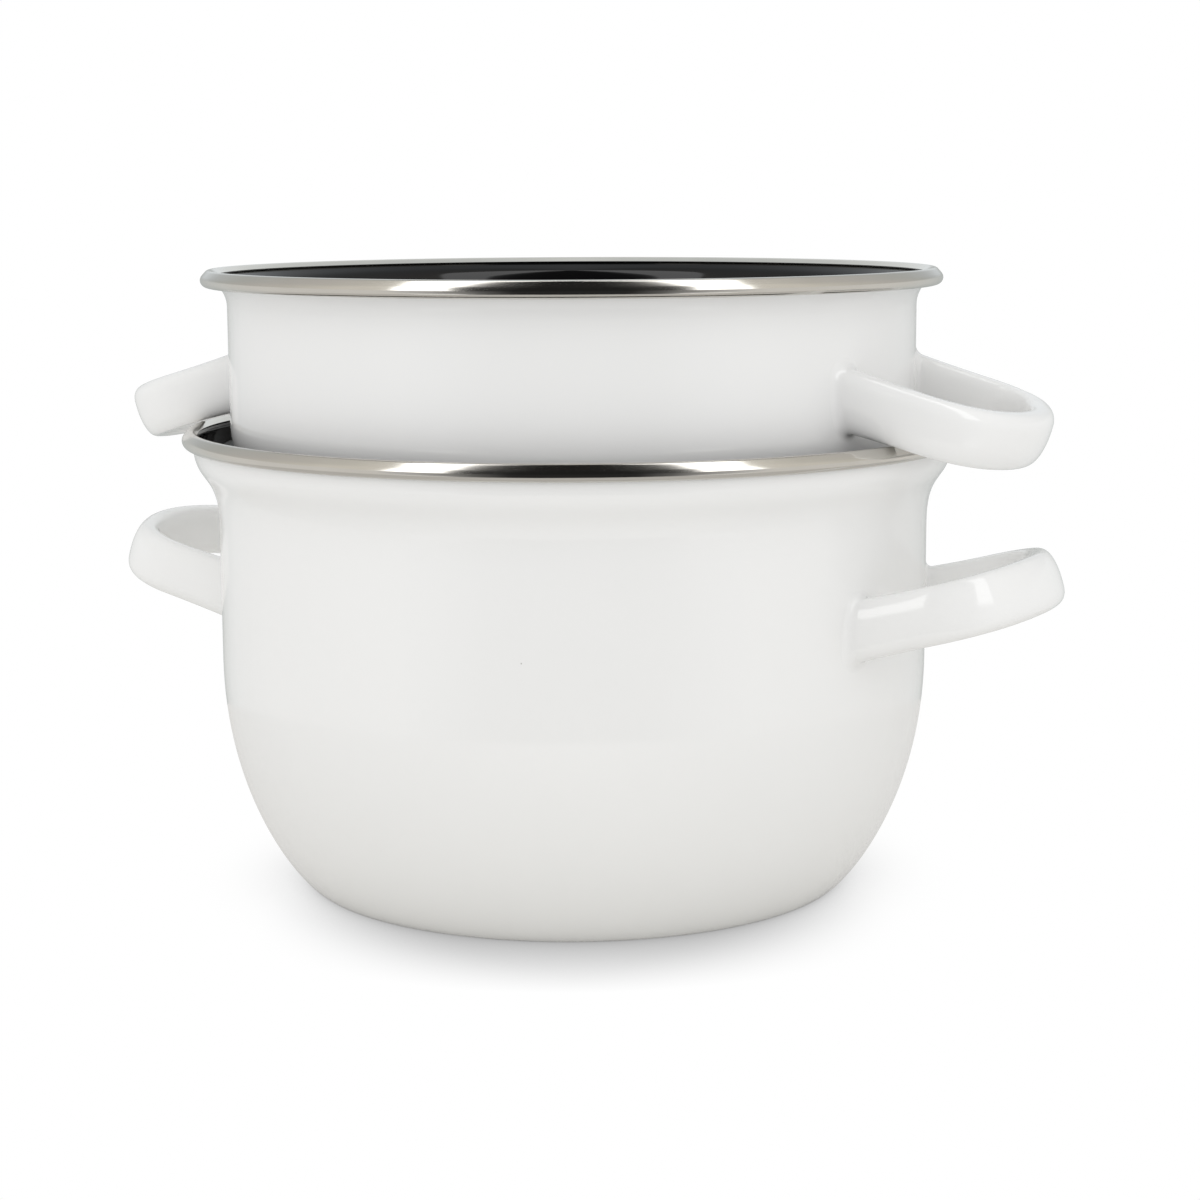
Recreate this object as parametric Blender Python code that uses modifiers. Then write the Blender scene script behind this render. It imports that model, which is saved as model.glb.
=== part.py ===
"""Mussel pot: an enamelled steel pot and the deep dish that is also its lid, standing in it right way up.

Metres, +Z up. The origin is the middle of the pot's flat base, and the handles point along X.
Each vessel is a pressed shell with a steel ring crimped over its lip and two tube handles on its wall.
The dish goes down into the pot's neck until the four legs of its handles rest on the pot's rim ring.
"""

import collections
import math

import bmesh
import bpy

# Sheet, gaps and facets
SHEET = 0.0014
FIT_GAP = 0.0003
TURN_STEPS = 48
MERGE_DISTANCE = 0.00001

# Pot shell: heights are from its base, and POT_HEIGHT is to the crest of its rim ring
POT_HEIGHT = 0.1416
POT_RIM_RADIUS = 0.120
POT_RIM_OVERHANG = 0.0033
POT_COLLAR_STEP = 0.0074
POT_NECK_HEIGHT = 0.0255
POT_CORNER_HEIGHT = 0.071
POT_BASE_RADIUS = 0.0835
POT_LIP_LEAN = math.radians(44)
POT_LIP_BEND_RADIUS = 0.0015

# Dish shell, which fits down the pot's neck and, turned over, into its collar
DISH_HEIGHT = 0.0768
DISH_WALL_PLAY = 0.0026
DISH_RIM_PLAY = 0.0021
DISH_CORNER_HEIGHT = 0.030
DISH_BASE_RADIUS = 0.080
DISH_LIP_LEAN = math.radians(48)
DISH_LIP_BEND_RADIUS = 0.009

# Curves of the lower corner and the neck: how far the straight stretches at their ends pull on them
CORNER_BASE_PULL = 0.10
CORNER_WALL_PULL = 0.645
CORNER_STEPS = 7
NECK_COLLAR_PULL = 0.49
NECK_WALL_PULL = 0.68
NECK_STEPS = 6
LIP_BEND_STEPS = 3

# Rim ring, whose crest wraps round the edge of the lip
RING_SHEET = 0.0005
RING_HEIGHT = 0.0051
RING_INNER_HEIGHT = 0.0016
RING_CREST_INSET = 0.0027
RING_NOSE_RADIUS = 0.0018
RING_CREST_STEPS = 3
RING_NOSE_STEPS = 4

# Tube handles, one size for pot and dish
HANDLE_SPAN = 0.068
HANDLE_REACH = 0.0464
HANDLE_CORNER_RADIUS = 0.0215
HANDLE_BAR_RADIUS = 0.050
TUBE_HEIGHT = 0.0168
TUBE_THICKNESS = 0.009
TUBE_WALL = 0.0012
TUBE_SQUARENESS = 2.9
TUBE_SIDES = 16
BORE_SIDES = 10
FOOT_LENGTH = 0.004
FOOT_FLARE = 1.1
FOOT_STEPS = 3
LEG_INSIDE = 0.012
CORNER_ARC_STEPS = 5
BAR_ARC_STEPS = 2

# Where the handles sit
POT_HANDLE_HEIGHT = 0.0882
POT_HANDLE_RISE = math.radians(15)
DISH_HANDLE_HEIGHT = 0.0414
DISH_HANDLE_FALL = math.radians(16)

# Sizes that follow from the ones above
RING_CREST_RADIUS = SHEET / 2 + FIT_GAP + RING_SHEET / 2
POT_COLLAR_RADIUS = POT_RIM_RADIUS - POT_RIM_OVERHANG
POT_WALL_RADIUS = POT_COLLAR_RADIUS - POT_COLLAR_STEP
DISH_RIM_RADIUS = POT_COLLAR_RADIUS - SHEET - DISH_RIM_PLAY
DISH_WALL_RADIUS = POT_WALL_RADIUS - SHEET - DISH_WALL_PLAY

Vessel = collections.namedtuple("Vessel", "height rim lean bend collar neck wall corner base")


def clear_scene():
    for obj in list(bpy.data.objects):
        bpy.data.objects.remove(obj, do_unlink=True)


def collection(name, hidden=False):
    group = bpy.data.collections.new(name)
    group.hide_render = hidden
    bpy.context.scene.collection.children.link(group)
    return group


def finish(name, colour, roughness, metallic=0.0, coat=0.0):
    material = bpy.data.materials.new(name)
    material.use_nodes = True
    material.diffuse_color = (*colour, 1)
    shader = material.node_tree.nodes["Principled BSDF"]
    shader.inputs["Base Color"].default_value = (*colour, 1)
    shader.inputs["Roughness"].default_value = roughness
    shader.inputs["Metallic"].default_value = metallic
    shader.inputs["Coat Weight"].default_value = coat
    return material


# Points of plane curves

def arc(centre, radius, start, end, steps):
    """Points on an arc, both ends included; angles in radians from +X."""
    angles = [start + (end - start) * i / steps for i in range(steps + 1)]
    return [(centre[0] + radius * math.cos(a), centre[1] + radius * math.sin(a)) for a in angles]


def bezier(p0, p1, p2, p3, steps):
    """Points on a cubic curve after p0, up to and with p3."""
    points = []
    for i in range(1, steps + 1):
        t = i / steps
        weights = ((1 - t) ** 3, 3 * t * (1 - t) ** 2, 3 * t * t * (1 - t), t ** 3)
        points.append(tuple(sum(w * p[k] for w, p in zip(weights, (p0, p1, p2, p3))) for k in (0, 1)))
    return points


def oval(width, height, sides):
    """Points round a flattened tube's section, fuller in its corners than an ellipse."""
    power = 2 / TUBE_SQUARENESS
    points = []
    for i in range(sides):
        angle = 2 * math.pi * (i + 0.5) / sides
        c, s = math.cos(angle), math.sin(angle)
        across = math.copysign(abs(c) ** power, c) * width / 2
        up = math.copysign(abs(s) ** power, s) * height / 2
        points.append((across, up))
    return points


# Shapes

def turned(name, group, profile):
    """A profile of (radius, height) points turned round Z."""
    vertices = [(radius, 0, height) for radius, height in profile]
    edges = [(i, i + 1) for i in range(len(profile) - 1)]
    mesh = bpy.data.meshes.new(name)
    mesh.from_pydata(vertices, edges, [])
    obj = bpy.data.objects.new(name, mesh)
    group.objects.link(obj)
    screw = obj.modifiers.new("Turn", "SCREW")
    screw.steps = TURN_STEPS
    screw.render_steps = TURN_STEPS
    screw.use_merge_vertices = True
    screw.merge_threshold = MERGE_DISTANCE
    screw.use_smooth_shade = True
    return obj


def thicken(obj, thickness, offset):
    solidify = obj.modifiers.new("Sheet", "SOLIDIFY")
    solidify.thickness = thickness
    solidify.offset = offset
    solidify.use_even_offset = True
    return solidify


def as_mesh(obj, name, group):
    """The evaluated object as a plain mesh object in its world place; the first one is removed."""
    bpy.context.view_layer.update()
    evaluated = obj.evaluated_get(bpy.context.evaluated_depsgraph_get())
    mesh = bpy.data.meshes.new_from_object(evaluated)
    mesh.name = name
    work = bmesh.new()
    work.from_mesh(mesh)
    bmesh.ops.remove_doubles(work, verts=work.verts, dist=MERGE_DISTANCE)
    bmesh.ops.recalc_face_normals(work, faces=work.faces)
    work.to_mesh(mesh)
    work.free()
    made = bpy.data.objects.new(name, mesh)
    made.matrix_world = obj.matrix_world.copy()
    group.objects.link(made)
    bpy.data.objects.remove(obj, do_unlink=True)
    return made


def cut(obj, cutter):
    boolean = obj.modifiers.new("Cut by " + cutter.name, "BOOLEAN")
    boolean.operation = "DIFFERENCE"
    boolean.solver = "EXACT"
    boolean.object = cutter


def as_cutter(obj):
    obj.hide_render = True
    obj.display_type = "WIRE"
    return obj


def smooth(obj, sharp_degrees=40):
    obj.data.shade_smooth()
    obj.data.set_sharp_from_angle(angle=math.radians(sharp_degrees))


# The two shells

def ring_crest(sizes):
    """Middle of the bend over the rim ring's crest, where the lip's edge ends."""
    return sizes.rim - RING_CREST_INSET, sizes.height - RING_CREST_RADIUS - RING_SHEET / 2


def lip_foot(sizes):
    """Where the lip's outer face starts to lean straight out, at the top of its bend."""
    crest_x, crest_z = ring_crest(sizes)
    face_x = crest_x + SHEET / 2 / math.cos(sizes.lean)
    foot_x = sizes.collar + sizes.bend * (1 - math.cos(sizes.lean))
    return foot_x, crest_z - (face_x - foot_x) / math.tan(sizes.lean)


def shell_profile(sizes):
    """Outer face of a pressed shell, from the lip's edge down to the middle of the base."""
    crest_x, crest_z = ring_crest(sizes)
    edge = (crest_x + SHEET / 2 * math.cos(sizes.lean), crest_z - SHEET / 2 * math.sin(sizes.lean))
    neck_top = lip_foot(sizes)[1] - sizes.bend * math.sin(sizes.lean)
    bend = (sizes.collar + sizes.bend, neck_top)
    profile = [edge] + arc(bend, sizes.bend, math.pi - sizes.lean, math.pi, LIP_BEND_STEPS)
    if sizes.neck:
        neck_foot = neck_top - sizes.neck
        collar_pull = (sizes.collar, neck_top - NECK_COLLAR_PULL * sizes.neck)
        wall_pull = (sizes.wall, neck_foot + NECK_WALL_PULL * sizes.neck)
        profile += bezier(profile[-1], collar_pull, wall_pull, (sizes.wall, neck_foot), NECK_STEPS)
    corner_top = (sizes.wall, sizes.corner)
    wall_pull = (sizes.wall, sizes.corner * (1 - CORNER_WALL_PULL))
    base_pull = (sizes.base + CORNER_BASE_PULL * (sizes.wall - sizes.base), 0)
    profile += [corner_top]
    profile += bezier(corner_top, wall_pull, base_pull, (sizes.base, 0), CORNER_STEPS)
    profile += [(0, 0)]
    return profile


def face_radius(profile, height):
    """Radius of a shell's outer face at a height."""
    for (upper_x, upper_z), (lower_x, lower_z) in zip(profile, profile[1:]):
        if lower_z <= height < upper_z:
            return lower_x + (upper_x - lower_x) * (height - lower_z) / (upper_z - lower_z)
    raise ValueError("no face at this height")


def shell(name, group, profile, outside, inside):
    """Enamelled sheet inwards from its outer face, in one colour outside and another inside."""
    obj = turned(name, group, profile)
    obj.data.materials.append(outside)
    obj.data.materials.append(inside)
    thicken(obj, SHEET, -1).material_offset = 1
    return obj


def rim_ring(name, group, sizes, profile, material):
    """C section of sheet: a leg inside the lip, a crest, the full band and an edge turned in under it."""
    half = RING_SHEET / 2
    top = ring_crest(sizes)
    nose = (sizes.rim - RING_NOSE_RADIUS - half, sizes.height - RING_HEIGHT + RING_NOSE_RADIUS + half)
    slope = math.atan2(nose[1] - top[1], nose[0] - top[0])
    band = slope + math.acos((RING_CREST_RADIUS - RING_NOSE_RADIUS) / math.dist(top, nose))
    crest = arc(top, RING_CREST_RADIUS, math.pi - sizes.lean, band, RING_CREST_STEPS)
    leg_drop = crest[0][1] - (sizes.height - RING_INNER_HEIGHT)
    leg_end = (crest[0][0] - leg_drop * math.tan(sizes.lean), crest[0][1] - leg_drop)
    edge_z = nose[1] - RING_NOSE_RADIUS
    edge = (face_radius(profile, edge_z + half) + FIT_GAP, edge_z)
    section = [leg_end] + crest + arc(nose, RING_NOSE_RADIUS, band, -math.pi / 2, RING_NOSE_STEPS) + [edge]
    obj = turned(name, group, section)
    thicken(obj, RING_SHEET, 0)
    obj.data.materials.append(material)
    return obj


# Handles

def root_distance(wall):
    """How far out from the axis the middle of a leg meets a round wall."""
    return math.sqrt(wall ** 2 - (HANDLE_SPAN / 2) ** 2)


def bow_path():
    """Centre line of the bow in its own plane with each point's scale: X is outwards, Y across."""
    half = HANDLE_SPAN / 2
    inset = half - HANDLE_CORNER_RADIUS
    reach_in = HANDLE_BAR_RADIUS - HANDLE_CORNER_RADIUS
    corner_x = HANDLE_REACH - HANDLE_BAR_RADIUS + math.sqrt(reach_in ** 2 - inset ** 2)
    meeting = math.asin(inset / reach_in)
    leg = [(-LEG_INSIDE, -half, FOOT_FLARE)]
    for i in range(FOOT_STEPS + 1):
        share = i / FOOT_STEPS
        leg.append((share * FOOT_LENGTH, -half, 1 + (FOOT_FLARE - 1) * (1 - share) ** 2))
    corner = arc((corner_x, -inset), HANDLE_CORNER_RADIUS, -math.pi / 2, -meeting, CORNER_ARC_STEPS)
    bar = arc((HANDLE_REACH - HANDLE_BAR_RADIUS, 0), HANDLE_BAR_RADIUS, -meeting, 0, BAR_ARC_STEPS)
    near = leg + [(x, y, 1) for x, y in corner + bar[1:]]
    return near + [(x, -y, scale) for x, y, scale in reversed(near[:-1])]


def swept(name, group, path, section):
    """A curve along the path, with the closed section as its bevel; both as a plain mesh."""
    outline = bpy.data.curves.new(name + "_section", "CURVE")
    outline.dimensions = "2D"
    loop = outline.splines.new("POLY")
    loop.points.add(len(section) - 1)
    for point, (x, y) in zip(loop.points, section):
        point.co = (x, y, 0, 1)
    loop.use_cyclic_u = True
    outline_object = bpy.data.objects.new(name + "_section", outline)
    group.objects.link(outline_object)
    curve = bpy.data.curves.new(name + "_path", "CURVE")
    curve.dimensions = "3D"
    curve.twist_mode = "Z_UP"
    curve.bevel_mode = "OBJECT"
    curve.bevel_object = outline_object
    curve.use_fill_caps = True
    line = curve.splines.new("POLY")
    line.points.add(len(path) - 1)
    for point, (x, y, scale) in zip(line.points, path):
        point.co = (x, y, 0, 1)
        point.radius = scale
    obj = bpy.data.objects.new(name + "_path", curve)
    group.objects.link(obj)
    made = as_mesh(obj, name, group)
    bpy.data.objects.remove(outline_object, do_unlink=True)
    return made


def handle_mesh(cutters):
    """One hollow tube bow, its feet still long enough to reach inside the wall."""
    path = bow_path()
    tube = swept("handle_blank", cutters, path, oval(TUBE_THICKNESS, TUBE_HEIGHT, TUBE_SIDES))
    inner = oval(TUBE_THICKNESS - 2 * TUBE_WALL, TUBE_HEIGHT - 2 * TUBE_WALL, BORE_SIDES)
    longer = [(-2 * LEG_INSIDE, path[0][1], 1)] + [(x, y, 1) for x, y, _ in path[1:-1]]
    longer += [(-2 * LEG_INSIDE, path[-1][1], 1)]
    bore = as_cutter(swept("handle_bore", cutters, longer, inner))
    cut(tube, bore)
    return as_mesh(tube, "handle_blank", cutters)


def wall_cutter(name, group, profile, base_height):
    """The solid that a shell's outer face encloses, larger by the fit gap."""
    top = profile[0][1] + LEG_INSIDE
    outline = [(0, top), (profile[0][0] + FIT_GAP, top)]
    outline += [(radius + FIT_GAP, height) for radius, height in profile[:-1]]
    outline += [(0, profile[-1][1])]
    obj = turned(name, group, outline)
    obj.location.z = base_height
    return as_cutter(as_mesh(obj, name, group))


def handles(prefix, group, blank, wall, root_height, rise, cutter, material, parent):
    """The left and right handle of one vessel, cut to its wall."""
    for side, turn in (("left", math.pi), ("right", 0.0)):
        obj = bpy.data.objects.new(prefix + "_handle_" + side, blank.data.copy())
        group.objects.link(obj)
        holder = bpy.data.objects.new(prefix + "_handle_seat_" + side, None)
        group.objects.link(holder)
        holder.parent = parent
        holder.rotation_euler.z = turn
        obj.parent = holder
        obj.location = (root_distance(wall), 0, root_height)
        obj.rotation_euler.y = -rise
        obj.data.materials.append(material)
        cut(obj, cutter)
        smooth(obj)


# Height at which the dish comes to rest

def dish_rest_height(pot):
    """Height of the dish's base: its sloping legs' under edge clears the pot's ring by the fit gap."""
    crest_x, crest_z = ring_crest(pot)
    crest_radius = RING_CREST_RADIUS + RING_SHEET / 2
    touch_radius = crest_x + crest_radius * math.sin(DISH_HANDLE_FALL)
    touch_z = crest_z + crest_radius * math.cos(DISH_HANDLE_FALL)
    run = math.sqrt(touch_radius ** 2 - (HANDLE_SPAN / 2) ** 2) - root_distance(DISH_WALL_RADIUS)
    below = (TUBE_HEIGHT / 2 + FIT_GAP) / math.cos(DISH_HANDLE_FALL)
    root = touch_z + run * math.tan(DISH_HANDLE_FALL) + below
    return root - DISH_HANDLE_HEIGHT


def vessel(prefix, group, cutters, blank, sizes, seat, root_height, rise, finishes):
    """One shell with its rim ring and handles, all parented to an empty on the turning axis."""
    axis = bpy.data.objects.new(prefix + "_axis", None)
    group.objects.link(axis)
    axis.location.z = seat
    profile = shell_profile(sizes)
    white, black, steel = finishes
    body = shell(prefix + "_body", group, profile, white, black)
    ring = rim_ring(prefix + "_rim_ring", group, sizes, profile, steel)
    body.parent = axis
    ring.parent = axis
    cutter = wall_cutter(prefix + "_wall_cutter", cutters, profile, seat)
    handles(prefix, group, blank, sizes.wall, root_height, rise, cutter, white, axis)


def main():
    clear_scene()
    pot_group = collection("mussel_pot")
    cutters = collection("cutters", hidden=True)
    white = finish("white_enamel", (0.80, 0.80, 0.78), 0.08, coat=1.0)
    black = finish("black_enamel", (0.010, 0.010, 0.012), 0.08, coat=1.0)
    steel = finish("stainless_steel", (0.56, 0.54, 0.50), 0.16, metallic=1.0)
    finishes = (white, black, steel)
    blank = handle_mesh(cutters)
    pot = Vessel(
        height=POT_HEIGHT,
        rim=POT_RIM_RADIUS,
        lean=POT_LIP_LEAN,
        bend=POT_LIP_BEND_RADIUS,
        collar=POT_COLLAR_RADIUS,
        neck=POT_NECK_HEIGHT,
        wall=POT_WALL_RADIUS,
        corner=POT_CORNER_HEIGHT,
        base=POT_BASE_RADIUS,
    )
    dish = Vessel(
        height=DISH_HEIGHT,
        rim=DISH_RIM_RADIUS,
        lean=DISH_LIP_LEAN,
        bend=DISH_LIP_BEND_RADIUS,
        collar=DISH_WALL_RADIUS,
        neck=0,
        wall=DISH_WALL_RADIUS,
        corner=DISH_CORNER_HEIGHT,
        base=DISH_BASE_RADIUS,
    )
    vessel("pot", pot_group, cutters, blank, pot, 0, POT_HANDLE_HEIGHT, POT_HANDLE_RISE, finishes)
    seat = dish_rest_height(pot)
    vessel("dish", pot_group, cutters, blank, dish, seat, DISH_HANDLE_HEIGHT, -DISH_HANDLE_FALL, finishes)


main()
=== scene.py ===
import math

import bpy
from mathutils import Matrix, Vector


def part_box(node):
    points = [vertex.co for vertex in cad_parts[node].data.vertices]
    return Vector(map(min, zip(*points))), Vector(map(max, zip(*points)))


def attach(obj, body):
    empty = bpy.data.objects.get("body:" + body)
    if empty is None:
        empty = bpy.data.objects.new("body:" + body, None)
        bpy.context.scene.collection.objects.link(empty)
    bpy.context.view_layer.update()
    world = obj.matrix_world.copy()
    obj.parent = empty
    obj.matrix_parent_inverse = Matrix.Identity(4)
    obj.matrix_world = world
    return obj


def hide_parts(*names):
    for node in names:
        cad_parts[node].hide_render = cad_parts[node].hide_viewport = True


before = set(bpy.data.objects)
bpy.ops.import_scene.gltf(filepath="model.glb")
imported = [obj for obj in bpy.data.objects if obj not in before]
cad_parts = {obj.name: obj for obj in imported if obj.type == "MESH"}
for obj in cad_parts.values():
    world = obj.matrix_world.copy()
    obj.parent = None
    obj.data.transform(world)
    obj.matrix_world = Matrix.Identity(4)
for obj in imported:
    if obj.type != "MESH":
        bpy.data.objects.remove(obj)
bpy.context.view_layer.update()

# Metres, +Z up, in the frame of the solids: the origin is the middle of the pot's base, and the handles
# point along X. Each pressed shell shows as two coats that share its sheet, white outside and black inside.

# Sizes that both vessels share
SHEET = 0.0014
COAT = 0.00068
LIP_GAP = 0.00015
RING_SHEET = 0.0005
RING_HEIGHT = 0.0051
RING_INNER_HEIGHT = 0.0016
RING_CREST_INSET = 0.0027
RING_CREST_RADIUS = 0.00125
RING_NOSE_RADIUS = 0.0018

# How far the straight stretches at the ends of the corner and the neck pull on their curves
CORNER_BASE_PULL = 0.10
CORNER_WALL_PULL = 0.645
NECK_COLLAR_PULL = 0.49
NECK_WALL_PULL = 0.68

# Tube handles
HANDLE_SPAN = 0.068
HANDLE_REACH = 0.0462
HANDLE_CORNER_RADIUS = 0.0215
HANDLE_BAR_RADIUS = 0.050
TUBE_HEIGHT = 0.0168
TUBE_THICKNESS = 0.0088
TUBE_BROW = 0.0034
TUBE_TOP_SQUARENESS = 2.2
TUBE_FOOT_SQUARENESS = 2.4
TUBE_BACK_SQUARENESS = 3.0
ROOT_FLARE = 1.05
ROOT_FILLET = 0.0025
ROOT_SKIRT = 0.001
ROOT_DEPTH = 0.0004

# Smoothness
TURN_STEPS = 360
CORNER_STEPS = 36
NECK_STEPS = 20
BEND_STEPS = 8
RING_STEPS = 12
TUBE_SIDES = 56
FILLET_STEPS = 10
LEG_STEPS = 8
TURN_IN_STEPS = 26
BAR_STEPS = 12

# The two vessels; what the frame's boxes say is read from them
POT_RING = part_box("pot_rim_ring")
DISH_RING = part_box("dish_rim_ring")
DISH_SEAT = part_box("dish_body")[0].z
POT = {
    "name": "pot",
    "seat": 0.0,
    "height": POT_RING[1].z,
    "rim": POT_RING[1].y,
    "lean": math.radians(44),
    "bend": 0.0015,
    "collar": 0.1167,
    "neck": 0.0255,
    "wall": 0.1093,
    "corner": 0.071,
    "base": 0.0835,
    "handle_height": 0.0882,
    "handle_rise": math.radians(15),
}
DISH = {
    "name": "dish",
    "seat": DISH_SEAT,
    "height": DISH_RING[1].z - DISH_SEAT,
    "rim": DISH_RING[1].y,
    "lean": math.radians(48),
    "bend": 0.009,
    "collar": 0.1053,
    "neck": 0,
    "wall": 0.1053,
    "corner": 0.030,
    "base": 0.080,
    "handle_height": 0.0414,
    "handle_rise": math.radians(-16),
}

# Camera: it looks from CAMERA_AZIMUTH to the right of -Y
CAMERA_AZIMUTH = math.radians(24)
CAMERA_DISTANCE = 0.8
CAMERA_HEIGHT = 0.2145
CAMERA_SHIFT = 0.0004
CAMERA_YAW = 0.0097
CAMERA_PITCH = 0.1593
CAMERA_ROLL = -0.0043
CAMERA_FOCUS = 2582.73
IMAGE_WIDTH = 1200
SENSOR_WIDTH = 36
CAMERA_FAR = 50

# Floor, and the shadow on it
FLOOR_RADIUS = 0.30
FLOOR_DROP = 0.0001
FLOOR_COLOUR = (0.84, 0.83, 0.80)
FLOOR_MIRRORED = (0.70, 0.69, 0.67)
SHADOW_REACH = 0.038
SHADOW_SAMPLES = 16
SHADOW_FRONT = 0.66
SHADOW_SIDE = 0.8
SHADOW_SIDE_POWER = 4
SHADOW_TURN = (math.radians(10), math.radians(70))
SHADOW_TURN_RADIUS = 0.100
SHADOW_TURN_RATE = 14

# Studio
STUDIO_RADIUS = 0.6
STUDIO_MIDDLE = 0.06
STUDIO_STEPS = 48
FILL_STRENGTH = 0.25
FILL_ANGLE = math.radians(50)
FILL_HEIGHT = math.radians(32)


# Plane curves, as lists of points

def arc(centre, radius, start, end, steps):
    angles = [start + (end - start) * i / steps for i in range(steps + 1)]
    return [(centre[0] + radius * math.cos(a), centre[1] + radius * math.sin(a)) for a in angles]


def bezier(p0, p1, p2, p3, steps):
    """Points on a cubic curve after p0, up to and with p3."""
    points = []
    for i in range(1, steps + 1):
        t = i / steps
        weights = ((1 - t) ** 3, 3 * t * (1 - t) ** 2, 3 * t * t * (1 - t), t ** 3)
        points.append(tuple(sum(w * p[k] for w, p in zip(weights, (p0, p1, p2, p3))) for k in (0, 1)))
    return points


def moved_in(points, distance):
    """The line through the points, moved to its left by a distance and kept parallel to itself."""
    moved = []
    for i, point in enumerate(points):
        before = Vector(points[max(i - 1, 0)])
        after = Vector(points[min(i + 1, len(points) - 1)])
        here = Vector(point)
        left = [
            Vector((before.y - here.y, here.x - before.x)),
            Vector((here.y - after.y, after.x - here.x)),
        ]
        sides = [side.normalized() for side in left if side.length > 1e-9]
        middle = sum(sides, Vector((0, 0))).normalized()
        moved.append(tuple(here + middle * distance / middle.dot(sides[0])))
    return moved


# Meshes

def add_mesh(name, vertices, faces, material, sharp_degrees=40):
    mesh = bpy.data.meshes.new(name)
    mesh.from_pydata(vertices, [], faces)
    mesh.update()
    mesh.validate()
    mesh.shade_smooth()
    mesh.set_sharp_from_angle(angle=math.radians(sharp_degrees))
    mesh.materials.append(material)
    obj = bpy.data.objects.new(name, mesh)
    bpy.context.scene.collection.objects.link(obj)
    return obj


def turned(name, line, seat, material, closed=True):
    """A line of (radius, height) points turned round Z. It runs down its outer side."""
    vertices = []
    rows = []
    for radius, height in line:
        count = TURN_STEPS if radius > 1e-7 else 1
        rows.append([len(vertices) + i for i in range(count)])
        for i in range(count):
            angle = 2 * math.pi * i / TURN_STEPS
            vertices.append((radius * math.cos(angle), radius * math.sin(angle), height + seat))
    faces = []
    for upper, lower in zip(rows, rows[1:] + rows[:1] if closed else rows[1:]):
        for i in range(TURN_STEPS):
            j = (i + 1) % TURN_STEPS
            if len(upper) > 1 and len(lower) > 1:
                faces.append((upper[i], lower[i], lower[j], upper[j]))
            elif len(upper) > 1:
                faces.append((upper[i], lower[0], upper[j]))
            elif len(lower) > 1:
                faces.append((upper[0], lower[i], lower[j]))
    return add_mesh(name, vertices, faces, material)


# Shells and rings

def ring_crest(vessel):
    """Middle of the bend over the rim ring's crest, where the lip's edge ends."""
    return vessel["rim"] - RING_CREST_INSET, vessel["height"] - RING_CREST_RADIUS - RING_SHEET / 2


def lip_foot(vessel):
    """Where the lip's outer face starts to lean straight out, at the top of its bend."""
    crest_x, crest_z = ring_crest(vessel)
    face_x = crest_x + SHEET / 2 / math.cos(vessel["lean"])
    foot_x = vessel["collar"] + vessel["bend"] * (1 - math.cos(vessel["lean"]))
    return foot_x, crest_z - (face_x - foot_x) / math.tan(vessel["lean"])


def shell_line(vessel):
    """Outer face of the shell, from the lip's edge down to the middle of the base."""
    lean = vessel["lean"]
    collar = vessel["collar"]
    wall = vessel["wall"]
    crest_x, crest_z = ring_crest(vessel)
    line = [(crest_x + SHEET / 2 * math.cos(lean), crest_z - SHEET / 2 * math.sin(lean))]
    neck_top = lip_foot(vessel)[1] - vessel["bend"] * math.sin(lean)
    bend = (collar + vessel["bend"], neck_top)
    line += arc(bend, vessel["bend"], math.pi - lean, math.pi, BEND_STEPS)
    if vessel["neck"]:
        neck_foot = neck_top - vessel["neck"]
        collar_pull = (collar, neck_top - NECK_COLLAR_PULL * vessel["neck"])
        wall_pull = (wall, neck_foot + NECK_WALL_PULL * vessel["neck"])
        line += bezier((collar, neck_top), collar_pull, wall_pull, (wall, neck_foot), NECK_STEPS)
    wall_pull = (wall, vessel["corner"] * (1 - CORNER_WALL_PULL))
    base_pull = (vessel["base"] + CORNER_BASE_PULL * (wall - vessel["base"]), 0)
    line += [(wall, vessel["corner"])]
    line += bezier(line[-1], wall_pull, base_pull, (vessel["base"], 0), CORNER_STEPS)
    line += [(0, 0)]
    return line


def face_radius(line, height):
    """Radius of the shell's outer face at a height."""
    for (upper_x, upper_z), (lower_x, lower_z) in zip(line, line[1:]):
        if lower_z <= height < upper_z:
            return lower_x + (upper_x - lower_x) * (height - lower_z) / (upper_z - lower_z)
    raise ValueError("no face at this height")


def coat(vessel, name, outer, inner, material):
    """One coat of the shell, between two depths in from its outer face."""
    line = shell_line(vessel)
    loop = moved_in(line, -outer) + moved_in(line, -inner)[::-1]
    return turned(vessel["name"] + name, loop, vessel["seat"], material)


def rim_ring(vessel, material):
    """C section: a leg inside the lip, a crest, the full band and an edge turned in under it."""
    half = RING_SHEET / 2
    height = vessel["height"]
    lean = vessel["lean"]
    top = ring_crest(vessel)
    nose = (vessel["rim"] - RING_NOSE_RADIUS - half, height - RING_HEIGHT + RING_NOSE_RADIUS + half)
    slope = math.atan2(nose[1] - top[1], nose[0] - top[0])
    band = slope + math.acos((RING_CREST_RADIUS - RING_NOSE_RADIUS) / math.dist(top, nose))
    crest = arc(top, RING_CREST_RADIUS, math.pi - lean, band, RING_STEPS)
    leg_drop = crest[0][1] - (height - RING_INNER_HEIGHT)
    leg_end = (crest[0][0] - leg_drop * math.tan(lean), crest[0][1] - leg_drop)
    edge_z = nose[1] - RING_NOSE_RADIUS
    edge = (face_radius(shell_line(vessel), edge_z + half) + LIP_GAP, edge_z)
    line = [leg_end] + crest + arc(nose, RING_NOSE_RADIUS, band, -math.pi / 2, RING_STEPS) + [edge]
    loop = moved_in(line, half) + moved_in(line, -half)[::-1]
    return turned(vessel["name"] + "_rim", loop, vessel["seat"], material)


# Handles

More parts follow.
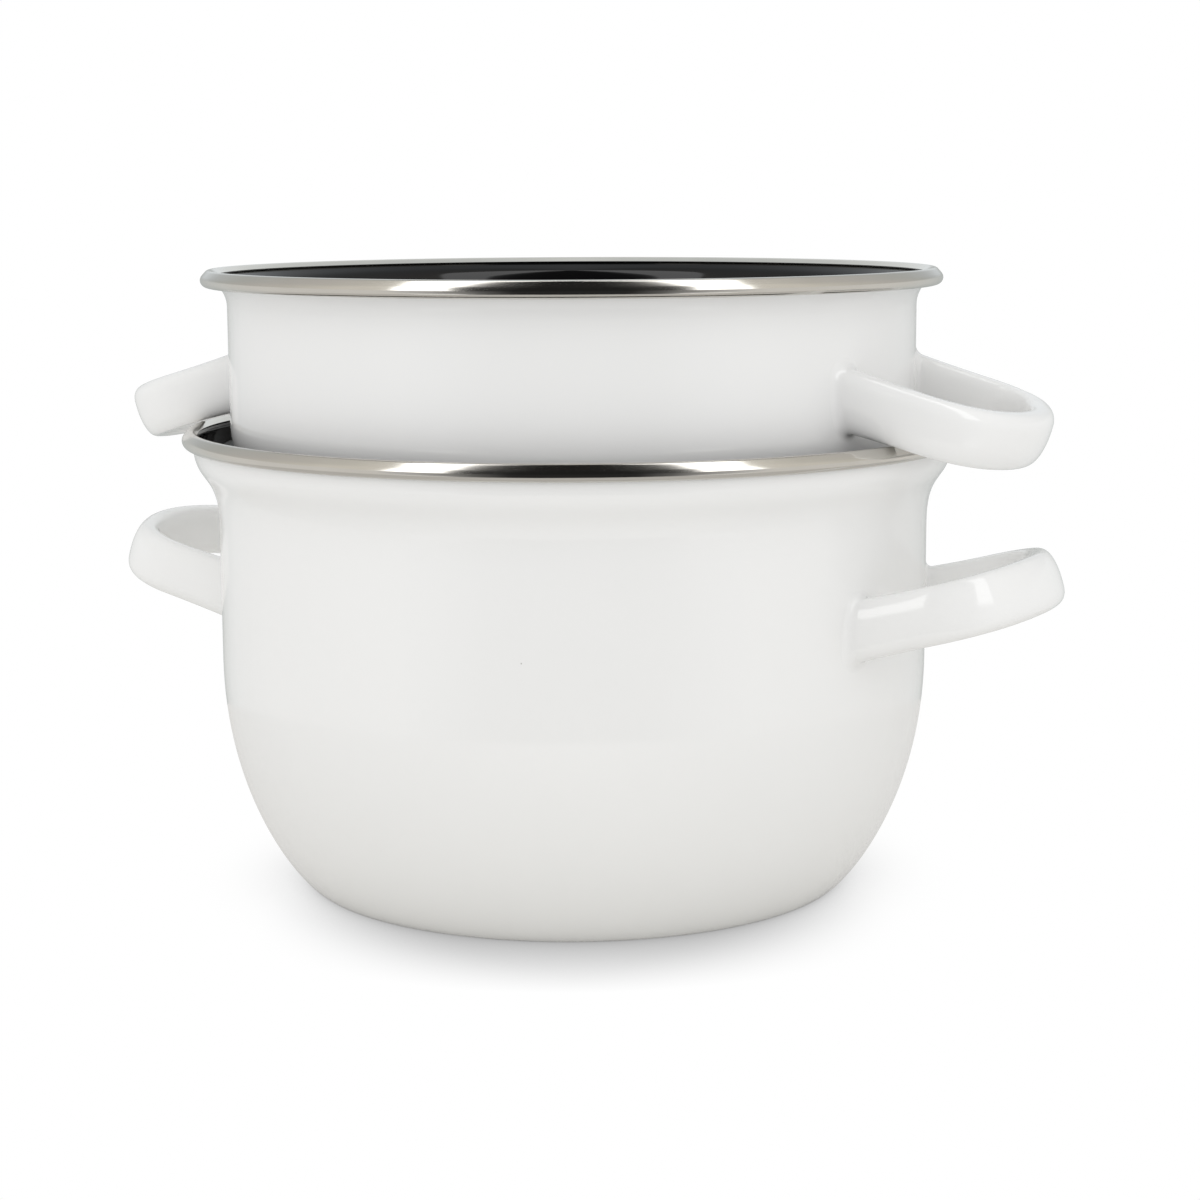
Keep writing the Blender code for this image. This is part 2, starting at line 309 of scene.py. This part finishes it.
def tube_section(flip):
    """Points round the flattened tube, as (outwards, up) and the direction that the surface faces.

    Its outer face stands furthest out low down, and rounds far in above that. A flip turns the tube over.
    """
    width = TUBE_THICKNESS / 2
    height = TUBE_HEIGHT / 2
    points = []
    for i in range(TUBE_SIDES):
        angle = 2 * math.pi * (i + 0.5) / TUBE_SIDES
        c, s = math.cos(angle), math.sin(angle)
        squareness, middle, reach = TUBE_BACK_SQUARENESS, 0, height
        if c > 0 and s > 0:
            squareness, middle, reach = TUBE_TOP_SQUARENESS, -TUBE_BROW, height + TUBE_BROW
        elif c > 0:
            squareness, middle, reach = TUBE_FOOT_SQUARENESS, -TUBE_BROW, height - TUBE_BROW
        power = 2 / squareness
        out = math.copysign(abs(c) ** power, c) * width
        up = middle + math.copysign(abs(s) ** power, s) * reach
        facing = Vector((
            math.copysign(abs(c) ** (2 - power), c) / width,
            math.copysign(abs(s) ** (2 - power), s) / reach,
        )).normalized()
        points.append(((out, up), facing))
    if flip:
        points = [((out, -up), Vector((facing[0], -facing[1]))) for (out, up), facing in reversed(points)]
    return points


def bow_stations():
    """Centre line from the end of the straight leg to the bar's middle: (x, y, heading)."""
    half = HANDLE_SPAN / 2
    inset = half - HANDLE_CORNER_RADIUS
    reach_in = HANDLE_BAR_RADIUS - HANDLE_CORNER_RADIUS
    corner_x = HANDLE_REACH - HANDLE_BAR_RADIUS + math.sqrt(reach_in ** 2 - inset ** 2)
    meeting = math.asin(inset / reach_in)
    corner = arc((corner_x, -inset), HANDLE_CORNER_RADIUS, -math.pi / 2, -meeting, TURN_IN_STEPS)
    bar = arc((HANDLE_REACH - HANDLE_BAR_RADIUS, 0), HANDLE_BAR_RADIUS, -meeting, 0, BAR_STEPS)
    stations = []
    for i, (x, y) in enumerate(corner):
        stations.append((x, y, (math.pi / 2 - meeting) * i / TURN_IN_STEPS))
    for i, (x, y) in enumerate(bar[1:], 1):
        stations.append((x, y, math.pi / 2 - meeting + meeting * i / BAR_STEPS))
    return stations


def root_rings(vessel, section):
    """Rings from inside the wall out along the fillet, in the handle's own frame."""
    rise = vessel["handle_rise"]
    wall = vessel["wall"]
    root = math.sqrt(wall ** 2 - (HANDLE_SPAN / 2) ** 2)

    def ring(spread, lift):
        points = []
        for (out, up), facing in section:
            y = -HANDLE_SPAN / 2 - out - facing[0] * spread
            z = up + facing[1] * spread
            wall_x = (math.sqrt(wall ** 2 - y ** 2) - root + z * math.sin(rise)) / math.cos(rise)
            points.append((wall_x + lift, y, z))
        return points

    rings = [
        ring(ROOT_FILLET + ROOT_SKIRT, -ROOT_DEPTH),
        ring(ROOT_FILLET + ROOT_SKIRT / 4, -ROOT_DEPTH / 8),
    ]
    for i in range(FILLET_STEPS + 1):
        angle = math.pi / 2 * (1 - i / FILLET_STEPS)
        rings.append(ring(ROOT_FILLET * (1 - math.cos(angle)), ROOT_FILLET * (1 - math.sin(angle))))
    return rings


def handle(vessel, side, turn, material):
    """One tube bow, its near half built ring by ring and mirrored."""
    section = tube_section(flip=vessel["handle_rise"] < 0)
    flared = [((out * ROOT_FLARE, up * ROOT_FLARE), facing) for (out, up), facing in section]
    rings = root_rings(vessel, flared)
    last = rings[-1]
    stations = bow_stations()
    middle = -HANDLE_SPAN / 2
    for i in range(1, LEG_STEPS):
        share = i / LEG_STEPS
        narrowing = 1 - (1 - share) ** 2
        scale = 1 + (1 / ROOT_FLARE - 1) * narrowing
        rings.append([(x + (stations[0][0] - x) * share, middle + (y - middle) * scale, z * scale)
                      for x, y, z in last])
    for x, y, heading in stations:
        rings.append([(x + out * math.sin(heading), y - out * math.cos(heading), up)
                      for (out, up), _ in section])
    rings += [[(x, -y, z) for x, y, z in ring] for ring in rings[-2::-1]]
    vertices = [point for ring in rings for point in ring]
    faces = []
    for k in range(len(rings) - 1):
        for i in range(TUBE_SIDES):
            j = (i + 1) % TUBE_SIDES
            low, high = k * TUBE_SIDES, (k + 1) * TUBE_SIDES
            faces.append((low + i, low + j, high + j, high + i))
    for start in (0, (len(rings) - 1) * TUBE_SIDES):
        ring = vertices[start:start + TUBE_SIDES]
        centre = len(vertices)
        vertices.append(tuple(sum(point[k] for point in ring) / TUBE_SIDES for k in range(3)))
        for i in range(TUBE_SIDES):
            pair = (start + (i + 1) % TUBE_SIDES, start + i)
            faces.append((centre, *(pair if start == 0 else pair[::-1])))
    root = math.sqrt(vessel["wall"] ** 2 - (HANDLE_SPAN / 2) ** 2)
    place = (
        Matrix.Rotation(turn, 4, "Z")
        @ Matrix.Translation((root, 0, vessel["seat"] + vessel["handle_height"]))
        @ Matrix.Rotation(-vessel["handle_rise"], 4, "Y")
    )
    vertices = [tuple(place @ Vector(point)) for point in vertices]
    return add_mesh(f"{vessel['name']}_grip_{side}", vertices, faces, material)


# Materials. Scales are noise cells to the metre, bumps are heights in metres.

ENAMEL_DRIFT_SCALE = 22
ENAMEL_GLOSS_SCALE = 60
ENAMEL_GLOSS_SPREAD = 0.3
ENAMEL_WAVE = (45, 0.00004)
ENAMEL_PEEL = (420, 0.000002)
PINHOLE_CELLS = 55
PINHOLE_CELLS_WITHOUT = 0.55
PINHOLE_RADII = (0.010, 0.022)
PINHOLE_DEPTH = 0.00006
WHITE_TONES = ((0.842, 0.842, 0.834), (0.827, 0.827, 0.82))
WHITE_PINHOLES = (0.10, 0.07, 0.05)
BLACK_TONES = ((0.0040, 0.0040, 0.0044), (0.0052, 0.0051, 0.0054))
BLACK_PINHOLES = (0.02, 0.02, 0.02)
BLACK_SHINE = 0.3
ENAMEL_ROUGHNESS = 0.06
STEEL_TONES = ((0.60, 0.58, 0.54), (0.55, 0.53, 0.49))
STEEL_PATCH_SCALE = 80
STEEL_ROUGHNESS = (0.07, 0.17)
POLISH_LINES_ALONG = 60
POLISH_LINES_ACROSS = 9000
POLISH_LINE_DEPTH = 0.000002


def new_material(name):
    material = bpy.data.materials.new(name)
    material.use_nodes = True
    return material, material.node_tree.nodes, material.node_tree.links


def noise(nodes, links, coordinates, scale, detail=2.0):
    node = nodes.new("ShaderNodeTexNoise")
    node.inputs["Scale"].default_value = scale
    node.inputs["Detail"].default_value = detail
    links.new(coordinates, node.inputs["Vector"])
    return node.outputs["Fac"]


def math_node(nodes, links, operation, first, second=None):
    node = nodes.new("ShaderNodeMath")
    node.operation = operation
    for socket, value in zip(node.inputs, (first, second)):
        if isinstance(value, (int, float)):
            socket.default_value = value
        elif value is not None:
            links.new(value, socket)
    return node.outputs["Value"]


def length(nodes, links, x, y):
    """Length of a plane vector."""
    squares = [math_node(nodes, links, "MULTIPLY", part, part) for part in (x, y)]
    return math_node(nodes, links, "SQRT", math_node(nodes, links, "ADD", *squares))


def ranged(nodes, links, value, low, high, from_low=0.0, from_high=1.0, smooth=False):
    node = nodes.new("ShaderNodeMapRange")
    node.interpolation_type = "SMOOTHSTEP" if smooth else "LINEAR"
    node.inputs["From Min"].default_value = from_low
    node.inputs["From Max"].default_value = from_high
    node.inputs["To Min"].default_value = low
    node.inputs["To Max"].default_value = high
    links.new(value, node.inputs["Value"])
    return node.outputs["Result"]


def mixed(nodes, links, share, first, second):
    """Two colours mixed by a share; each is a colour or a socket."""
    node = nodes.new("ShaderNodeMix")
    node.data_type = "RGBA"
    links.new(share, node.inputs["Factor"])
    for socket, value in zip((node.inputs[6], node.inputs[7]), (first, second)):
        if isinstance(value, tuple):
            socket.default_value = (*value, 1)
        else:
            links.new(value, socket)
    return node.outputs[2]


def blended(nodes, links, share, first, second):
    """Two values mixed by a share."""
    node = nodes.new("ShaderNodeMix")
    for socket, value in zip((node.inputs[0], node.inputs[2], node.inputs[3]), (share, first, second)):
        links.new(value, socket)
    return node.outputs[0]


def bumped(nodes, links, height, distance, normal=None):
    node = nodes.new("ShaderNodeBump")
    node.inputs["Distance"].default_value = distance
    links.new(height, node.inputs["Height"])
    if normal is not None:
        links.new(normal, node.inputs["Normal"])
    return node.outputs["Normal"]


def enamel(name, tones, speck, shine=0.5):
    """Glassy fired enamel: faint drifts of tone, pinholes, orange peel and long low waves."""
    material, nodes, links = new_material(name)
    shader = nodes["Principled BSDF"]
    place = nodes.new("ShaderNodeTexCoord").outputs["Object"]
    tone = mixed(nodes, links, noise(nodes, links, place, ENAMEL_DRIFT_SCALE), *tones)
    cells = nodes.new("ShaderNodeTexVoronoi")
    cells.inputs["Scale"].default_value = PINHOLE_CELLS
    links.new(place, cells.inputs["Vector"])
    split = nodes.new("ShaderNodeSeparateColor")
    links.new(cells.outputs["Color"], split.inputs["Color"])
    chosen = math_node(nodes, links, "GREATER_THAN", split.outputs[0], PINHOLE_CELLS_WITHOUT)
    near = ranged(nodes, links, cells.outputs["Distance"], 1.0, 0.0, *PINHOLE_RADII)
    pinhole = math_node(nodes, links, "MULTIPLY", chosen, near)
    links.new(mixed(nodes, links, pinhole, tone, speck), shader.inputs["Base Color"])
    rough = ranged(
        nodes, links, noise(nodes, links, place, ENAMEL_GLOSS_SCALE, 4),
        ENAMEL_ROUGHNESS * (1 - ENAMEL_GLOSS_SPREAD), ENAMEL_ROUGHNESS * (1 + ENAMEL_GLOSS_SPREAD),
    )
    links.new(rough, shader.inputs["Roughness"])
    shader.inputs["Specular IOR Level"].default_value = shine
    normal = None
    for scale, height in (ENAMEL_WAVE, ENAMEL_PEEL):
        normal = bumped(nodes, links, noise(nodes, links, place, scale), height, normal)
    whole = math_node(nodes, links, "SUBTRACT", 1.0, pinhole)
    normal = bumped(nodes, links, whole, PINHOLE_DEPTH, normal)
    links.new(normal, shader.inputs["Normal"])
    return material


def polished_steel():
    """Stainless rim: fine polishing lines round the axis, with faint patches."""
    material, nodes, links = new_material("stainless_steel")
    shader = nodes["Principled BSDF"]
    place = nodes.new("ShaderNodeTexCoord").outputs["Object"]
    axes = nodes.new("ShaderNodeSeparateXYZ")
    links.new(place, axes.inputs["Vector"])
    x, y, z = axes.outputs
    rounds = nodes.new("ShaderNodeCombineXYZ")
    for along, socket in ((x, "X"), (y, "Y")):
        links.new(math_node(nodes, links, "MULTIPLY", along, POLISH_LINES_ALONG), rounds.inputs[socket])
    out = math_node(nodes, links, "MULTIPLY", length(nodes, links, x, y), POLISH_LINES_ACROSS)
    up = math_node(nodes, links, "MULTIPLY", z, POLISH_LINES_ACROSS)
    links.new(math_node(nodes, links, "SUBTRACT", out, up), rounds.inputs["Z"])
    lines = noise(nodes, links, rounds.outputs["Vector"], 1.0, 3)
    patches = noise(nodes, links, place, STEEL_PATCH_SCALE)
    links.new(mixed(nodes, links, patches, *STEEL_TONES), shader.inputs["Base Color"])
    links.new(ranged(nodes, links, lines, *STEEL_ROUGHNESS), shader.inputs["Roughness"])
    links.new(bumped(nodes, links, lines, POLISH_LINE_DEPTH), shader.inputs["Normal"])
    shader.inputs["Metallic"].default_value = 1.0
    return material


# Stage

def make_camera():
    """The camera of the photograph."""
    right = Vector((math.cos(CAMERA_AZIMUTH), math.sin(CAMERA_AZIMUTH), 0))
    ahead = Vector((-math.sin(CAMERA_AZIMUTH), math.cos(CAMERA_AZIMUTH), 0))
    level = math.cos(CAMERA_PITCH)
    look = right * math.sin(CAMERA_YAW) * level + ahead * math.cos(CAMERA_YAW) * level
    look.z = -math.sin(CAMERA_PITCH)
    across = right * math.cos(CAMERA_YAW) - ahead * math.sin(CAMERA_YAW)
    up = across.cross(look)
    rolled = across * math.cos(CAMERA_ROLL) + up * math.sin(CAMERA_ROLL)
    head = up * math.cos(CAMERA_ROLL) - across * math.sin(CAMERA_ROLL)
    place = right * CAMERA_SHIFT - ahead * CAMERA_DISTANCE
    place.z = CAMERA_HEIGHT
    data = bpy.data.cameras.new("Camera")
    data.sensor_width = SENSOR_WIDTH
    data.lens = CAMERA_FOCUS / IMAGE_WIDTH * SENSOR_WIDTH
    data.clip_end = CAMERA_FAR
    camera = bpy.data.objects.new("Camera", data)
    turn = Matrix((rolled, head, -look)).transposed()
    camera.matrix_world = Matrix.Translation(place) @ turn.to_4x4()
    bpy.context.scene.collection.objects.link(camera)
    bpy.context.scene.camera = camera


def make_world():
    """Even white light from all round, which is also the white background."""
    world = bpy.data.worlds.new("Studio")
    world.use_nodes = True
    background = world.node_tree.nodes["Background"]
    background.inputs["Color"].default_value = (1, 1, 1, 1)
    background.inputs["Strength"].default_value = 1.0
    bpy.context.scene.world = world


def direction(nodes, links, place):
    """Azimuth from the camera's side, to either hand, and the coordinates across, to the front and up."""
    axes = nodes.new("ShaderNodeSeparateXYZ")
    links.new(place, axes.inputs["Vector"])
    x, y, z = axes.outputs
    across = math_node(nodes, links, "ABSOLUTE", x)
    nearer = math_node(nodes, links, "MULTIPLY", y, -1)
    return math_node(nodes, links, "ARCTAN2", across, nearer), across, nearer, z


def make_floor():
    """White floor. The camera sees it white, less the object's shadow, which lies most to the front."""
    material, nodes, links = new_material("floor")
    nodes.remove(nodes["Principled BSDF"])
    paths = nodes.new("ShaderNodeLightPath")
    seen = paths.outputs["Is Camera Ray"]
    for path in ("Is Glossy Ray", "Is Transmission Ray"):
        seen = math_node(nodes, links, "MAXIMUM", seen, paths.outputs[path])
    plain = nodes.new("ShaderNodeBsdfDiffuse")
    plain.inputs["Color"].default_value = (*FLOOR_COLOUR, 1)
    near = nodes.new("ShaderNodeAmbientOcclusion")
    near.samples = SHADOW_SAMPLES
    near.inputs["Distance"].default_value = SHADOW_REACH
    hidden = math_node(nodes, links, "SUBTRACT", 1.0, near.outputs["AO"])
    place = nodes.new("ShaderNodeTexCoord").outputs["Object"]
    angle, across, nearer, _ = direction(nodes, links, place)
    radius = length(nodes, links, across, nearer)
    outwards = math_node(nodes, links, "SUBTRACT", radius, SHADOW_TURN_RADIUS)
    turned_by = math_node(nodes, links, "MULTIPLY", outwards, SHADOW_TURN_RATE)
    aside = math_node(nodes, links, "ADD", angle, turned_by)
    share = ranged(nodes, links, aside, 0.0, 1.0, *SHADOW_TURN, smooth=True)
    front = math_node(nodes, links, "MULTIPLY", hidden, SHADOW_FRONT)
    side = math_node(nodes, links, "POWER", hidden, SHADOW_SIDE_POWER)
    side = math_node(nodes, links, "MULTIPLY", side, SHADOW_SIDE)
    shadow = blended(nodes, links, share, front, side)
    glow = nodes.new("ShaderNodeEmission")
    colour = mixed(nodes, links, paths.outputs["Is Glossy Ray"], (1, 1, 1), FLOOR_MIRRORED)
    links.new(colour, glow.inputs["Color"])
    links.new(math_node(nodes, links, "SUBTRACT", 1.0, shadow), glow.inputs["Strength"])
    choice = nodes.new("ShaderNodeMixShader")
    links.new(seen, choice.inputs[0])
    links.new(plain.outputs[0], choice.inputs[1])
    links.new(glow.outputs[0], choice.inputs[2])
    links.new(choice.outputs[0], nodes["Material Output"].inputs["Surface"])
    floor = turned("floor", [(0, 0), (FLOOR_RADIUS, 0)], -FLOOR_DROP, material, closed=False)
    floor.rotation_euler.z = CAMERA_AZIMUTH


def make_fill():
    """A weak broad light from the camera's side, which polished surfaces don't show."""
    data = bpy.data.lights.new("fill", "SUN")
    data.energy = FILL_STRENGTH
    data.angle = FILL_ANGLE
    lamp = bpy.data.objects.new("fill", data)
    lamp.rotation_euler = (math.pi / 2 - FILL_HEIGHT, 0, CAMERA_AZIMUTH)
    lamp.visible_glossy = False
    bpy.context.scene.collection.objects.link(lamp)


# What polished surfaces see. Two softboxes stand beside the camera and lean in overhead. Across one, from
# its outer to its inner edge, the share runs from 0 to 1; past that it is dark up to the camera. At the
# height that the upright walls see, the boxes fade to a soft slope.
BOX_STOPS = ((0, 3.0), (1.0, 3.0), (1.12, 1.1), (1.2, 0.6), (1.5, 0.18), (2.0, 0.06), (4.0, 0.02))
SLOPE_STOPS = ((0, 0.8), (1.0, 0.42), (2.0, 0.15), (4.0, 0.03))
SLOPE_TOP = (0.15, 0.20)
SLOPE_FOOT = (-0.16, -0.45)
BOX_EDGE = (-0.10, 0.96)
BOX_EDGE_LOW = (0.87, 0.63)
BOX_BEND = (0.5, 3.3)
BOX_SOFTNESS = 0.08

# Outside the softboxes: azimuth from the camera's side in degrees, colour, strength
SIDE_STOPS = (
    (0, (1, 0.97, 0.92), 0.88),
    (69, (1, 0.97, 0.9), 0.9),
    (86, (1, 0.98, 0.92), 0.76),
    (104, (1, 0.98, 0.95), 0.68),
    (127, (0.97, 1, 0.98), 0.6),
    (140, (0.94, 0.98, 1), 0.63),
    (155, (0.92, 0.97, 1), 0.85),
    (180, (0.94, 0.98, 1), 1.0),
)

# The same at the height that the upright walls see
SIDE_SLOPE_STOPS = (
    (0, (1, 0.98, 0.95), 0.9),
    (104, (1, 0.99, 0.97), 0.9),
    (130, (0.98, 1, 0.99), 0.78),
    (155, (0.96, 1, 0.98), 0.52),
    (180, (0.96, 1, 0.98), 0.45),
)


def stops_ramp(nodes, links, share, stops, brightest):
    """Stops of (place from 0 to 1, colour, strength), as a colour up to the brightest."""
    ramp = nodes.new("ShaderNodeValToRGB")
    links.new(share, ramp.inputs["Fac"])
    elements = ramp.color_ramp.elements
    while len(elements) < len(stops):
        elements.new(1)
    for element, (position, _, _) in zip(elements, stops):
        element.position = position
    for element, (_, colour, strength) in zip(elements, stops):
        element.color = (*(c * strength / brightest for c in colour), 1)
    return ramp.outputs["Color"]


def make_studio():
    """A globe that only polished surfaces see: dark front between softboxes, grey sides and a pale back."""
    material, nodes, links = new_material("studio")
    nodes.remove(nodes["Principled BSDF"])
    place = nodes.new("ShaderNodeTexCoord").outputs["Object"]
    angle, across, nearer, z = direction(nodes, links, place)
    width = math_node(nodes, links, "MAXIMUM", across, 0.001)
    ahead = math_node(nodes, links, "DIVIDE", nearer, width)
    raised = math_node(nodes, links, "DIVIDE", z, width)
    level = ranged(nodes, links, raised, 1.0, 0.0, *BOX_BEND, smooth=True)
    edge = ranged(nodes, links, level, BOX_EDGE[0], BOX_EDGE_LOW[0])
    span = ranged(nodes, links, level, BOX_EDGE[1], BOX_EDGE_LOW[1])
    inwards = math_node(nodes, links, "DIVIDE", math_node(nodes, links, "SUBTRACT", ahead, edge), span)
    brightest = max(strength for _, strength in BOX_STOPS)
    furthest = BOX_STOPS[-1][0]
    place_in_box = ranged(nodes, links, inwards, 0.0, 1.0, 0.0, furthest)
    ends = [ranged(nodes, links, z, 0.0, 1.0, *heights) for heights in (SLOPE_TOP, SLOPE_FOOT)]
    level_out = math_node(nodes, links, "MAXIMUM", *ends)
    ramps = []
    for stops in (SLOPE_STOPS, BOX_STOPS):
        spread = [(position / furthest, (1, 1, 1), strength) for position, strength in stops]
        ramps.append(stops_ramp(nodes, links, place_in_box, spread, brightest))
    boxes = mixed(nodes, links, level_out, *ramps)
    turn = math_node(nodes, links, "DIVIDE", angle, math.pi)
    ramps = []
    for stops in (SIDE_SLOPE_STOPS, SIDE_STOPS):
        spread = [(degrees / 180, colour, strength) for degrees, colour, strength in stops]
        ramps.append(stops_ramp(nodes, links, turn, spread, brightest))
    sides = mixed(nodes, links, level_out, *ramps)
    inside = ranged(nodes, links, inwards, 0.0, 1.0, -BOX_SOFTNESS, 0.0)
    light = nodes.new("ShaderNodeEmission")
    light.inputs["Strength"].default_value = brightest
    links.new(mixed(nodes, links, inside, sides, boxes), light.inputs["Color"])
    links.new(light.outputs[0], nodes["Material Output"].inputs["Surface"])
    line = arc((0, 0), STUDIO_RADIUS, math.pi / 2, -math.pi / 2, STUDIO_STEPS)
    line[0] = (0, STUDIO_RADIUS)
    line[-1] = (0, -STUDIO_RADIUS)
    globe = turned("studio_globe", line, 0, material, closed=False)
    globe.location.z = STUDIO_MIDDLE
    globe.rotation_euler.z = CAMERA_AZIMUTH
    globe.visible_camera = False
    globe.visible_diffuse = False
    globe.visible_shadow = False
    globe.visible_transmission = False
    globe.visible_volume_scatter = False


def make_object():
    white = enamel("white_enamel", WHITE_TONES, WHITE_PINHOLES)
    black = enamel("black_enamel", BLACK_TONES, BLACK_PINHOLES, BLACK_SHINE)
    steel = polished_steel()
    for vessel in (POT, DISH):
        body = vessel["name"]
        pieces = [
            (coat(vessel, "_white_coat", 0.0, COAT, white), "white_enamel", body + "_body"),
            (coat(vessel, "_black_coat", SHEET - COAT, SHEET, black), "black_enamel", body + "_body"),
            (rim_ring(vessel, steel), "stainless_steel", body + "_rim_ring"),
        ]
        for side, turn in (("left", math.pi), ("right", 0.0)):
            grip = handle(vessel, side, turn, white)
            pieces.append((grip, "white_enamel", f"{body}_handle_{side}"))
        for piece, slot, node in pieces:
            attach(piece, body)
            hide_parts(node)


for name in ("Cube", "Light", "Camera"):
    if name in bpy.data.objects:
        bpy.data.objects.remove(bpy.data.objects[name], do_unlink=True)
scene = bpy.context.scene
scene.view_settings.view_transform = "Standard"
make_camera()
make_world()
make_floor()
make_fill()
make_studio()
make_object()
